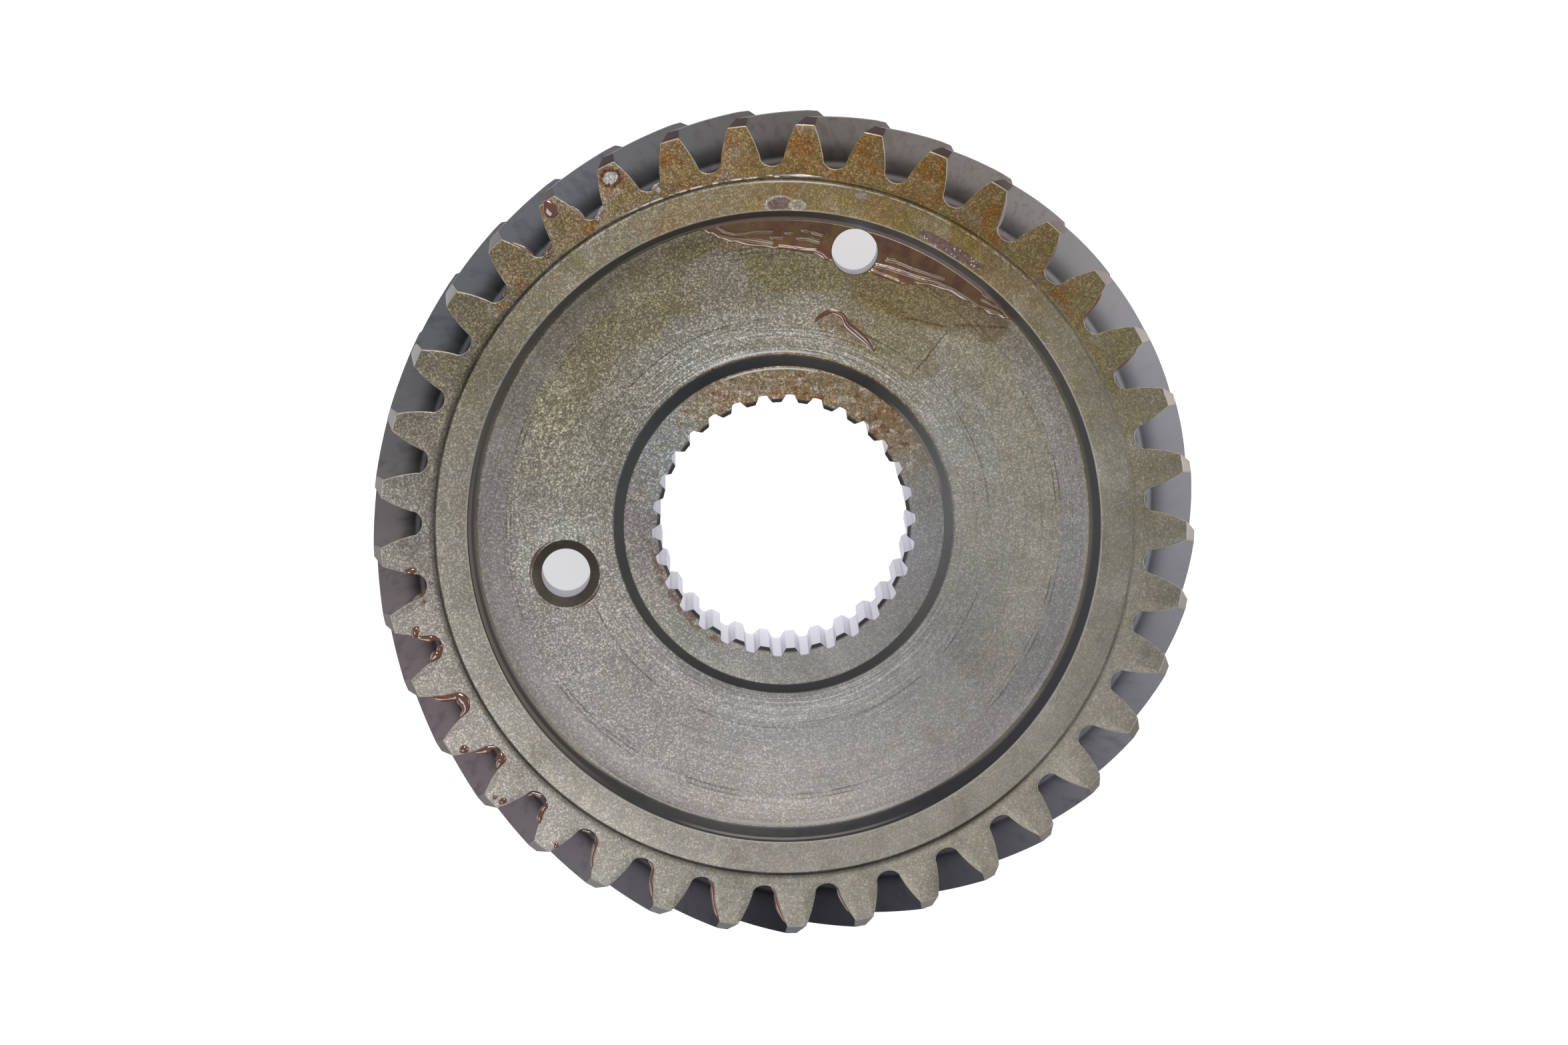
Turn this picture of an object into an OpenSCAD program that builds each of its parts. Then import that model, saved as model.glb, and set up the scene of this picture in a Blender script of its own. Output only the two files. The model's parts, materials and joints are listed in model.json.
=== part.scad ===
// Helical gear wheel with a splined bore.
// One forged and machined steel wheel, drawn as four regions that meet in its machined corners.
// Frame: gear axis on Z, rear hub face at z = 0, toothed front side up, millimetres.

/* [Gear teeth] */
// Number of teeth
tooth_count = 37; // [24:1:60]
// Module in the section normal to the tooth
normal_module = 2.75; // [2:0.05:3.2]
// Helix angle at the pitch circle; the teeth are right-handed
helix_angle = 30; // [10:1:32]
// Pressure angle in the section normal to the tooth
pressure_angle = 18; // [17:0.5:22]
// Tooth height above the pitch circle, in modules
addendum_factor = 1.29; // [1:0.01:1.35]
// Tooth depth below the pitch circle, in modules
dedendum_factor = 1.42; // [1.2:0.01:1.5]
// Share of the circular pitch that is metal at the pitch circle
tooth_share = 0.47; // [0.44:0.01:0.5]
// Length of the teeth along the axis
face_width = 21; // [14:0.5:26]
// Radial size of the chamfer at both ends of every tooth tip
tip_chamfer = 1.2; // [0.2:0.1:1.5]
// Length of that chamfer along the axis
tip_chamfer_length = 1.5; // [0.2:0.1:2]

/* [Rim] */
// Diameter of the flat raised land between teeth and recess
land_diameter = 105.7; // [104:0.1:106]
// How far the land stands above the ends of the teeth
land_step = 0.6; // [0.2:0.1:1.5]
// Diameter of the recess where it opens in the land
recess_mouth_diameter = 96; // [94:0.5:98]
// Diameter of the recess at its floor
recess_floor_diameter = 93.1; // [90:0.1:94]

/* [Web] */
// Depth of the front recess below the land
front_recess = 6.15; // [3:0.05:8]
// Thickness of the web between its two recesses
web_thickness = 11.35; // [8:0.05:13]
// Diameter of the upper oil hole
upper_hole_diameter = 7; // [4:0.1:8]
// Distance of the upper oil hole from the axis
upper_hole_radius = 42.8; // [38:0.1:42.8]
// Direction of the upper oil hole, counter-clockwise from +X
upper_hole_angle = 75.4; // [0:0.1:360]
// Diameter of the countersunk hole
side_hole_diameter = 7.4; // [4:0.1:8]
// Mouth diameter of the countersink
countersink_diameter = 10.4; // [9:0.1:12]
// Distance of the countersunk hole from the axis
side_hole_radius = 34; // [33:0.1:39]
// Direction of the countersunk hole, counter-clockwise from +X
side_hole_angle = 193; // [0:0.1:360]
// Chamfer at the rear mouth of both holes
hole_chamfer = 0.2; // [0.1:0.05:0.25]

/* [Hub] */
// Overall length of the hub, which is the length of the splined bore
hub_length = 27.3; // [24:0.1:29]
// Diameter of the flat front hub face
hub_face_diameter = 48.5; // [46:0.1:50]
// Diameter of the hub where it grows out of the web
hub_base_diameter = 51.7; // [50:0.1:54]
// Diameter of the hub behind the web
rear_hub_diameter = 48; // [46:0.5:50]
// Chamfer around the rear hub face
rear_hub_chamfer = 1; // [0.5:0.1:2]

/* [Spline] */
// Number of spline teeth
spline_count = 30; // [20:1:36]
// Module of the spline
spline_module = 1.25; // [1:0.05:1.5]
// Root diameter of the spline grooves
spline_major_diameter = 40; // [39:0.1:42]
// Diameter between opposite spline tooth tips
spline_minor_diameter = 37.5; // [36:0.1:38.5]
// Radial size of the chamfer at both spline ends
spline_chamfer = 0.7; // [0.3:0.1:1]

/* [Hidden] */

steel = [0.46, 0.45, 0.40];
web_steel = [0.47, 0.46, 0.45];

// Heights along the axis.
land_z = 30;
tooth_top_z = land_z - land_step;
tooth_bottom_z = tooth_top_z - face_width;
rear_land_z = tooth_bottom_z - land_step;
web_top_z = land_z - front_recess;
web_bottom_z = web_top_z - web_thickness;
overlap = 0.01;

// Gear tooth geometry in the transverse plane.
transverse_module = normal_module / cos(helix_angle);
pitch_radius = tooth_count * transverse_module / 2;
transverse_pressure = atan(tan(pressure_angle) / cos(helix_angle));
base_radius = pitch_radius * cos(transverse_pressure);
tip_radius = pitch_radius + addendum_factor * normal_module;
root_radius = pitch_radius - dedendum_factor * normal_module;
form_radius = root_radius + 0.5 * normal_module;
pitch_half_angle = 180 / tooth_count * tooth_share;
half_pitch_angle = 180 / tooth_count;
lead_twist = face_width * tan(helix_angle) / pitch_radius * 180 / PI;
first_tooth_angle = 9.2;
flank_steps = 3;
fillet_steps = 3;
twist_slices = 6;

// Spline geometry.
spline_pitch_radius = spline_count * spline_module / 2;
spline_base_radius = spline_pitch_radius * cos(30);
spline_shift = (spline_major_diameter - spline_count * spline_module - 1.1 * spline_module) / 2;
groove_half_width = (PI * spline_module / 2 + 2 * spline_shift * tan(30)) / 2;
groove_pitch_half_angle = groove_half_width / spline_pitch_radius * 180 / PI;
first_spline_tooth_angle = 9.2;
groove_steps = 3;

// Angle between the start of an involute and its point at a given radius.
function involute_angle(base, radius) =
    let (slope = acos(min(1, base / radius))) tan(slope) * 180 / PI - slope;

// Half of the angle that a gear tooth fills at a radius.
function tooth_half_angle(radius) =
    pitch_half_angle + involute_angle(base_radius, pitch_radius) - involute_angle(base_radius, radius);

// Half of the angle that a spline groove fills at a radius.
function groove_half_angle(radius) =
    groove_pitch_half_angle + involute_angle(spline_base_radius, spline_pitch_radius)
    - involute_angle(spline_base_radius, radius);

function polar(radius, angle) = [radius * cos(angle), radius * sin(angle)];

// Flank from the root fillet out to the tip, as [radius, half angle] pairs.
flank = [for (i = [0:flank_steps])
    let (radius = form_radius + (tip_radius - form_radius) * i / flank_steps)
    [radius, tooth_half_angle(radius)]];

// Root fillet: a quarter of an ellipse from the middle of the gap to the flank.
fillet = [for (i = [0:fillet_steps - 1])
    let (
        rise = 1 - cos(90 * i / fillet_steps),
        reach = sin(90 * i / fillet_steps),
        radius = root_radius + (form_radius - root_radius) * rise
    )
    [radius, half_pitch_angle - (half_pitch_angle - flank[0][1]) * reach]];

half_tooth = concat(fillet, flank);

function tooth_outline(middle) = concat(
    [for (point = half_tooth) polar(point[0], middle - point[1])],
    [for (i = [len(half_tooth) - 1:-1:1]) polar(half_tooth[i][0], middle + half_tooth[i][1])]
);

gear_outline = [for (i = [0:tooth_count - 1])
    each tooth_outline(first_tooth_angle + i * 360 / tooth_count)];

groove_radii = [for (i = [0:groove_steps])
    spline_minor_diameter / 2 - 0.5
    + (spline_major_diameter / 2 - spline_minor_diameter / 2 + 0.5) * i / groove_steps];

groove_outline = concat(
    [for (radius = groove_radii) polar(radius, -groove_half_angle(radius))],
    [for (i = [groove_steps:-1:0]) polar(groove_radii[i], groove_half_angle(groove_radii[i]))]
);

// Helical teeth around the wheel, with both ends of the tips chamfered.
module toothed_ring() {
    color(steel)
    difference() {
        intersection() {
            translate([0, 0, tooth_bottom_z])
                rotate(-lead_twist)
                linear_extrude(height = face_width, twist = -lead_twist, slices = twist_slices)
                polygon(gear_outline);
            tip_envelope();
        }
        translate([0, 0, tooth_bottom_z - 1])
            cylinder(h = face_width + 2, d = land_diameter, $fn = 180);
    }
}

// Solid that cuts the tooth tips back to their chamfers.
module tip_envelope() {
    low = tooth_bottom_z - overlap;
    high = tooth_top_z + overlap;
    rotate_extrude($fn = 180)
        polygon([
            [0, low],
            [tip_radius - tip_chamfer, low],
            [tip_radius + overlap, low + tip_chamfer_length],
            [tip_radius + overlap, high - tip_chamfer_length],
            [tip_radius - tip_chamfer, high],
            [0, high]
        ]);
}

// Raised land between the teeth and the recess, with the sloping wall of both recesses.
module rim() {
    color(steel)
    rotate_extrude($fn = 180)
        polygon([
            [recess_floor_diameter / 2, web_bottom_z],
            [recess_mouth_diameter / 2, rear_land_z],
            [land_diameter / 2, rear_land_z],
            [land_diameter / 2, land_z],
            [recess_mouth_diameter / 2, land_z],
            [recess_floor_diameter / 2, web_top_z]
        ]);
}

// Flat web with an oil hole near its edge and a countersunk hole further in.
module web() {
    color(web_steel)
    difference() {
        translate([0, 0, web_bottom_z])
            difference() {
                cylinder(h = web_thickness, d = recess_floor_diameter, $fn = 180);
                translate([0, 0, -1])
                    cylinder(h = web_thickness + 2, d = hub_base_diameter, $fn = 180);
            }
        rotate(upper_hole_angle)
            translate([upper_hole_radius, 0, web_bottom_z])
            drilled_hole(upper_hole_diameter, upper_hole_diameter);
        rotate(side_hole_angle)
            translate([side_hole_radius, 0, web_bottom_z])
            drilled_hole(side_hole_diameter, countersink_diameter);
    }
}

// Hole through the web with a chamfered rear mouth and a front mouth of its own diameter.
module drilled_hole(bore, mouth) {
    sink = (mouth - bore) / 2;
    translate([0, 0, -1])
        cylinder(h = web_thickness + 2, d = bore, $fn = 64);
    translate([0, 0, -overlap])
        cylinder(h = hole_chamfer + overlap, d1 = bore + 2 * hole_chamfer, d2 = bore, $fn = 64);
    if (sink > 0)
        translate([0, 0, web_thickness - sink])
            cylinder(h = sink + overlap, d1 = bore, d2 = mouth + 2 * overlap, $fn = 64);
}

// Hub with the splined bore right through it.
module splined_hub() {
    color(steel)
    difference() {
        rotate_extrude($fn = 180)
            polygon([
                [spline_minor_diameter / 2 + spline_chamfer, 0],
                [rear_hub_diameter / 2 - rear_hub_chamfer, 0],
                [rear_hub_diameter / 2, rear_hub_chamfer],
                [rear_hub_diameter / 2, web_bottom_z],
                [hub_base_diameter / 2, web_bottom_z],
                [hub_base_diameter / 2, web_top_z],
                [hub_face_diameter / 2, hub_length],
                [spline_minor_diameter / 2 + spline_chamfer, hub_length],
                [spline_minor_diameter / 2, hub_length - spline_chamfer],
                [spline_minor_diameter / 2, spline_chamfer]
            ]);
        for (i = [0:spline_count - 1])
            rotate(first_spline_tooth_angle + (i + 0.5) * 360 / spline_count)
                translate([0, 0, -1])
                linear_extrude(height = hub_length + 2)
                polygon(groove_outline);
    }
}

toothed_ring();
rim();
web();
splined_hub();
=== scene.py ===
"""Helical gear wheel with a splined bore, lying flat on a pale floor, seen from above."""

import json
import math
import random

import bmesh
import bpy
from mathutils import Matrix, Vector


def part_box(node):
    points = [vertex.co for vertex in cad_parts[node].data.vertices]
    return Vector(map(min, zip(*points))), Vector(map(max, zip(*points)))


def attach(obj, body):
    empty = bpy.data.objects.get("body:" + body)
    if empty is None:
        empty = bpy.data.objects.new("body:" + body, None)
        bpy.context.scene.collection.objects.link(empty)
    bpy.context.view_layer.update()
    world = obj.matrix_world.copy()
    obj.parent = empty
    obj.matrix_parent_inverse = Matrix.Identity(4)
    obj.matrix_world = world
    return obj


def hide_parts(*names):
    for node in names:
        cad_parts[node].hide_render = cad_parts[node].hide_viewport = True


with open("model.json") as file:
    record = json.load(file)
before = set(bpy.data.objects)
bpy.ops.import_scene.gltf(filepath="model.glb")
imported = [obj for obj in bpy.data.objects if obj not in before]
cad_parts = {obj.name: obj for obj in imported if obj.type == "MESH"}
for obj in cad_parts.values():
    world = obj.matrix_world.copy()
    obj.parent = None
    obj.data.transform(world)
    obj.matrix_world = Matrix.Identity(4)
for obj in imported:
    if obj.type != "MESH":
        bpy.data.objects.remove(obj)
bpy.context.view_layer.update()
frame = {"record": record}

MM = 0.001

# Sizes taken from the frame.
RING_LOW, RING_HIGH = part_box("toothed_ring")
RIM_LOW, RIM_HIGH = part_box("rim")
WEB_LOW, WEB_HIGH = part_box("web")
HUB_LOW, HUB_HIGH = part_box("splined_hub")
MOUNTS = {mount["name"]: mount for mount in frame["record"]["mounts"]}

TOOTH_TOP = RING_HIGH.z
TOOTH_BOTTOM = RING_LOW.z
LAND_TOP = RIM_HIGH.z
LAND_BOTTOM = RIM_LOW.z
WEB_TOP = WEB_HIGH.z
WEB_BOTTOM = WEB_LOW.z
HUB_TOP = HUB_HIGH.z
HUB_BOTTOM = HUB_LOW.z
FLOOR_RADIUS = 46.55 * MM
MOUTH_RADIUS = 48.0 * MM
LAND_RADIUS = 52.85 * MM
HUB_FACE_RADIUS = 24.25 * MM
HUB_BASE_RADIUS = 25.85 * MM
REAR_HUB_RADIUS = 24.0 * MM
REAR_HUB_CHAMFER = 1.0 * MM

# Gear teeth, with the same proportions as the solid.
TOOTH_COUNT = 37
NORMAL_MODULE = 2.75 * MM
HELIX = math.radians(30)
NORMAL_PRESSURE = math.radians(18)
PITCH_RADIUS = TOOTH_COUNT * NORMAL_MODULE / math.cos(HELIX) / 2
PRESSURE = math.atan(math.tan(NORMAL_PRESSURE) / math.cos(HELIX))
BASE_RADIUS = PITCH_RADIUS * math.cos(PRESSURE)
TIP_RADIUS = PITCH_RADIUS + 1.29 * NORMAL_MODULE
ROOT_RADIUS = PITCH_RADIUS - 1.42 * NORMAL_MODULE
FORM_RADIUS = ROOT_RADIUS + 0.5 * NORMAL_MODULE
TOOTH_SHARE = 0.47
TIP_CHAMFER = 1.2 * MM
TIP_CHAMFER_LENGTH = 1.5 * MM
TIP_ROUND = 0.22 * MM
EDGE_ROUND = 0.14 * MM
FIRST_TOOTH = math.radians(9.2)
TWIST_PER_METRE = math.tan(HELIX) / PITCH_RADIUS

# Spline in the bore.
SPLINE_COUNT = 30
SPLINE_PITCH_RADIUS = 18.75 * MM
SPLINE_MINOR = 18.75 * MM
SPLINE_MAJOR = 20.0 * MM
SPLINE_BASE = SPLINE_PITCH_RADIUS * math.cos(math.radians(30))
GROOVE_HALF_WIDTH = 1.306 * MM
SPLINE_CHAMFER = 0.7 * MM
FIRST_SPLINE_TOOTH = math.radians(9.2)

# Holes in the web.
UPPER_HOLE = Vector(MOUNTS["upper_oil_hole"]["pos_m"])
UPPER_HOLE_RADIUS = MOUNTS["upper_oil_hole"]["dims"]["r_mm"] * MM
SIDE_HOLE = Vector(MOUNTS["countersunk_hole"]["pos_m"])
SIDE_HOLE_RADIUS = MOUNTS["countersunk_hole"]["dims"]["r_mm"] * MM
COUNTERSINK_RADIUS = 5.2 * MM
HOLE_CHAMFER = 0.2 * MM
HOLE_MOUTH = 0.12 * MM

# Steps round the gear axis and round a drilled hole.
AROUND = 288
HOLE_STEPS = 96

QUARTER_TURN = math.pi / 2
FULL_TURN = 2 * math.pi

# Points closer together than this are merged.
MERGE = 1e-7
# How far a drill reaches past the faces it opens.
SPARE = 1 * MM
# How deep a piece goes on below the corner where it meets its neighbour.
SEAM = 0.1 * MM
# How far the oil and the sharp ends of fillets overlap the metal.
SINK = 0.02 * MM
# Distance between the points along a thread of oil.
ROUTE_STEP = 0.12 * MM


# ---------------- mesh helpers

def involute(base, radius):
    """Angle between the start of an involute and its point at a radius."""
    slope = math.acos(min(1.0, base / radius))
    return math.tan(slope) - slope


def polar(radius, angle):
    return (radius * math.cos(angle), radius * math.sin(angle))


def quarter(steps, first=0):
    """(cosine, sine) pairs at equal steps through a quarter turn, from step number first on."""
    turns = [QUARTER_TURN * i / steps for i in range(first, steps + first)]
    return [(math.cos(turn), math.sin(turn)) for turn in turns]


def fillet_corners(corners, steps=5):
    """Turns [(a, b, rounding)] corners of a closed outline into points with arcs."""
    points = []
    count = len(corners)
    for i in range(count):
        corner = Vector(corners[i][:2])
        before = Vector(corners[i - 1][:2]) - corner
        after = Vector(corners[(i + 1) % count][:2]) - corner
        rounding = corners[i][2]
        if rounding <= 0:
            points.append(corner)
            continue
        before.normalize()
        after.normalize()
        half = before.angle(after) / 2
        reach = rounding / math.tan(half)
        start = corner + before * reach
        end = corner + after * reach
        centre = corner + (before + after).normalized() * (rounding / math.sin(half))
        first = start - centre
        last = end - centre
        turn = first.angle_signed(last)
        for k in range(steps + 1):
            rotation = Matrix.Rotation(-turn * k / steps, 2)
            points.append(centre + rotation @ first)
    return points


def new_object(name, vertices, faces, materials):
    mesh = bpy.data.meshes.new(name)
    mesh.from_pydata(vertices, [], faces)
    mesh.validate()
    piece = bpy.data.objects.new(name, mesh)
    bpy.context.scene.collection.objects.link(piece)
    for material in materials:
        mesh.materials.append(material)
    return piece


def fix_normals(mesh):
    """Merges points that lie together and turns all faces outwards."""
    work = bmesh.new()
    work.from_mesh(mesh)
    bmesh.ops.remove_doubles(work, verts=work.verts, dist=MERGE)
    bmesh.ops.recalc_face_normals(work, faces=work.faces)
    work.to_mesh(mesh)
    work.free()


def finish_piece(piece, nodes=(), sharp_angle=38):
    """Fixes the normals, smooths the mesh by angle and ties it to the rigid body."""
    fix_normals(piece.data)
    piece.data.shade_smooth()
    piece.data.set_sharp_from_angle(angle=math.radians(sharp_angle))
    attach(piece, "root")
    if nodes:
        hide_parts(*nodes)
    return piece


def strips(rings, count, first=0, loop_rings=False, loop_points=True):
    """Four-sided faces between neighbouring rings of count points, starting at point number first."""
    faces = []
    for i in range(rings if loop_rings else rings - 1):
        here = first + i * count
        there = first + (i + 1) % rings * count
        for k in range(count if loop_points else count - 1):
            after = (k + 1) % count
            faces.append((here + k, there + k, there + after, here + after))
    return faces


def spin(outline, steps, centre=(0, 0)):
    """Points of an outline of (radius, height), turned round an upright axis in equal steps."""
    points = []
    for i in range(steps):
        for radius, height in outline:
            x, y = polar(radius, FULL_TURN * i / steps)
            points.append((centre[0] + x, centre[1] + y, height))
    return points


def lathe(name, outline, materials):
    """Turns a closed outline of (radius, height) points around the gear axis."""
    faces = strips(AROUND, len(outline), loop_rings=True)
    return new_object(name, spin(outline, AROUND), faces, materials)


def loft(name, rings, materials):
    """Joins closed rings of equal length, the last one back to the first."""
    points = [point for ring in rings for point in ring]
    return new_object(name, points, strips(len(rings), len(rings[0]), loop_rings=True), materials)


def inset(points, distance):
    """Moves every point of a closed counter-clockwise outline inwards."""
    moved = []
    count = len(points)
    for i in range(count):
        x0, y0 = points[i - 1]
        x1, y1 = points[(i + 1) % count]
        length = math.hypot(x1 - x0, y1 - y0)
        x, y = points[i]
        moved.append((x - (y1 - y0) / length * distance, y + (x1 - x0) / length * distance))
    return moved


# ---------------- gear teeth

def tooth_half_angle(radius):
    middle = math.pi / TOOTH_COUNT * TOOTH_SHARE
    return middle + involute(BASE_RADIUS, PITCH_RADIUS) - involute(BASE_RADIUS, radius)


def half_tooth(limit):
    """(radius, half angle) pairs from the middle of the gap out to the middle of the tip."""
    gap = math.pi / TOOTH_COUNT
    edge = tooth_half_angle(FORM_RADIUS)
    fillet_steps = 9
    flank_steps = 12
    round_steps = 4
    pairs = []
    for cosine, sine in quarter(fillet_steps):
        radius = ROOT_RADIUS + (FORM_RADIUS - ROOT_RADIUS) * (1 - cosine)
        pairs.append((radius, gap - (gap - edge) * sine))
    shoulder = limit - TIP_ROUND
    for i in range(flank_steps + 1):
        radius = FORM_RADIUS + (shoulder - FORM_RADIUS) * i / flank_steps
        pairs.append((radius, tooth_half_angle(radius)))
    corner = tooth_half_angle(shoulder)
    round_angle = TIP_ROUND / limit
    for cosine, sine in quarter(round_steps, 1):
        pairs.append((shoulder + TIP_ROUND * sine, corner - round_angle * (1 - cosine)))
    pairs.append((limit, pairs[-1][1] / 2))
    return pairs


def gear_outline(limit, inwards, turn):
    """Points round the whole gear at one height."""
    pairs = half_tooth(limit)
    points = []
    for i in range(TOOTH_COUNT):
        middle = FIRST_TOOTH + turn + FULL_TURN * i / TOOTH_COUNT
        for radius, half in pairs:
            points.append(polar(radius, middle - half))
        points.append(polar(limit, middle))
        for radius, half in reversed(pairs[1:]):
            points.append(polar(radius, middle + half))
    if inwards > 0:
        points = inset(points, inwards)
    return points


def tooth_rings():
    """Outlines from the top face to the bottom face, as (height, points)."""
    face = TOOTH_TOP - TOOTH_BOTTOM
    rounding_steps = 3
    chamfer_steps = 3
    body_steps = 22
    levels = []
    for cosine, sine in quarter(rounding_steps):
        levels.append((EDGE_ROUND * (1 - cosine), EDGE_ROUND * (1 - sine)))
    for i in range(chamfer_steps + 1):
        levels.append((EDGE_ROUND + (TIP_CHAMFER_LENGTH - EDGE_ROUND) * i / chamfer_steps, 0.0))
    depths = list(levels)
    body = face - 2 * TIP_CHAMFER_LENGTH
    for i in range(1, body_steps):
        depths.append((TIP_CHAMFER_LENGTH + body * i / body_steps, 0.0))
    depths += [(face - depth, inwards) for depth, inwards in reversed(levels)]
    rings = []
    for depth, inwards in depths:
        near = min(depth, face - depth)
        limit = TIP_RADIUS - TIP_CHAMFER * max(0.0, 1 - near / TIP_CHAMFER_LENGTH)
        rings.append((TOOTH_TOP - depth, gear_outline(limit, inwards, -depth * TWIST_PER_METRE)))
    return rings


def ring_at(points, radius, height):
    """A circle with one point at the direction of each given point."""
    return [polar(radius, math.atan2(y, x)) + (height,) for x, y in points]


def make_toothed_ring(materials):
    levels = tooth_rings()
    rings = [[(x, y, height) for x, y in points] for height, points in levels]
    seat = ROOT_RADIUS - 0.6 * MM
    top_points = levels[0][1]
    low_points = levels[-1][1]
    rings.insert(0, ring_at(top_points, seat, TOOTH_TOP))
    rings.insert(0, ring_at(top_points, LAND_RADIUS, TOOTH_TOP))
    rings.append(ring_at(low_points, seat, TOOTH_BOTTOM))
    rings.append(ring_at(low_points, LAND_RADIUS, TOOTH_BOTTOM))
    piece = loft("toothed_ring_detail", rings, materials)
    return finish_piece(piece, ["toothed_ring"])


# ---------------- rim, web and hub

def rim_side(web, land, teeth, up):
    """Corners of one side of the rim, from the web out to the teeth; up is 1 in front, -1 behind."""
    foot = 0.2 * MM
    return [
        (FLOOR_RADIUS, web - up * SEAM, 0),
        (FLOOR_RADIUS - foot, web, 0),
        (FLOOR_RADIUS - SINK, web + up * SINK, foot),
        (MOUTH_RADIUS, land, 0.3 * MM),
        (LAND_RADIUS - 0.06 * MM, land, 0.12 * MM),
        (LAND_RADIUS + 0.32 * MM, teeth + up * 0.01 * MM, 0.16 * MM),
        (LAND_RADIUS + 0.6 * MM, teeth, 0),
        (LAND_RADIUS, teeth - up * SEAM, 0),
    ]


def make_rim(materials):
    corners = rim_side(WEB_TOP, LAND_TOP, TOOTH_TOP, 1)
    corners += reversed(rim_side(WEB_BOTTOM, LAND_BOTTOM, TOOTH_BOTTOM, -1))
    piece = lathe("rim_detail", fillet_corners(corners), materials)
    return finish_piece(piece, ["rim"])


def cut(piece, cutter):
    """Takes the cutter out of the piece."""
    change = piece.modifiers.new("cut", "BOOLEAN")
    change.operation = "DIFFERENCE"
    change.solver = "EXACT"
    change.object = cutter
    bpy.context.view_layer.objects.active = piece
    bpy.ops.object.modifier_apply(modifier=change.name)
    bpy.data.objects.remove(cutter)


def drill(centre, outline):
    """A solid of revolution on the axis of a hole, made from its (radius, height) outline."""
    count = len(outline)
    faces = strips(HOLE_STEPS, count, loop_rings=True, loop_points=False)
    faces.append([i * count for i in reversed(range(HOLE_STEPS))])
    faces.append([i * count + count - 1 for i in range(HOLE_STEPS)])
    tool = new_object("drill", spin(outline, HOLE_STEPS, centre), faces, [])
    fix_normals(tool.data)
    return tool


def hole_outline(radius, mouth):
    """Outline of a hole through the web: a small chamfer at the rear, a wider mouth at the front."""
    return [
        (radius + HOLE_CHAMFER, WEB_BOTTOM - SPARE),
        (radius + HOLE_CHAMFER, WEB_BOTTOM),
        (radius, WEB_BOTTOM + HOLE_CHAMFER),
        (radius, WEB_TOP - mouth),
        (radius + mouth, WEB_TOP),
        (radius + mouth, WEB_TOP + SPARE),
    ]


def make_web(materials):
    outline = [
        (HUB_BASE_RADIUS, WEB_BOTTOM),
        (HUB_BASE_RADIUS, WEB_TOP),
        (FLOOR_RADIUS, WEB_TOP),
        (FLOOR_RADIUS, WEB_BOTTOM),
    ]
    piece = lathe("web_detail", outline, materials)
    cut(piece, drill(UPPER_HOLE, hole_outline(UPPER_HOLE_RADIUS, HOLE_MOUTH)))
    cut(piece, drill(SIDE_HOLE, hole_outline(SIDE_HOLE_RADIUS, COUNTERSINK_RADIUS - SIDE_HOLE_RADIUS)))
    return finish_piece(piece, ["web"])


def groove_half_angle(radius):
    middle = GROOVE_HALF_WIDTH / SPLINE_PITCH_RADIUS
    return middle + involute(SPLINE_BASE, SPLINE_PITCH_RADIUS) - involute(SPLINE_BASE, radius)


def half_groove(limit):
    """(radius, half angle) pairs from the middle of a groove to the middle of a spline tooth."""
    root_round = 0.3 * MM
    tip_round = 0.16 * MM
    pairs = [(SPLINE_MAJOR, 0.0)]
    wall = groove_half_angle(SPLINE_MAJOR - root_round)
    root_steps = 4
    flank_steps = 5
    tip_steps = 3
    flat = 0.35
    for cosine, sine in quarter(root_steps, 1):
        radius = SPLINE_MAJOR - root_round * (1 - cosine)
        pairs.append((radius, wall * (flat + (1 - flat) * sine)))
    low = max(limit, SPLINE_MINOR) + tip_round
    for i in range(1, flank_steps + 1):
        radius = SPLINE_MAJOR - root_round + (low - SPLINE_MAJOR + root_round) * i / flank_steps
        pairs.append((radius, groove_half_angle(radius)))
    edge = pairs[-1][1]
    for cosine, sine in quarter(tip_steps, 1):
        radius = low - tip_round * sine
        pairs.append((radius, edge + tip_round / radius * (1 - cosine)))
    return pairs


def spline_outline(limit):
    pairs = half_groove(limit)
    points = []
    for i in range(SPLINE_COUNT):
        groove = FIRST_SPLINE_TOOTH + FULL_TURN * (i + 0.5) / SPLINE_COUNT
        for radius, half in reversed(pairs[1:]):
            points.append(polar(radius, groove - half))
        for radius, half in pairs:
            points.append(polar(radius, groove + half))
        points.append(polar(limit, groove + math.pi / SPLINE_COUNT))
    return points


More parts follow.
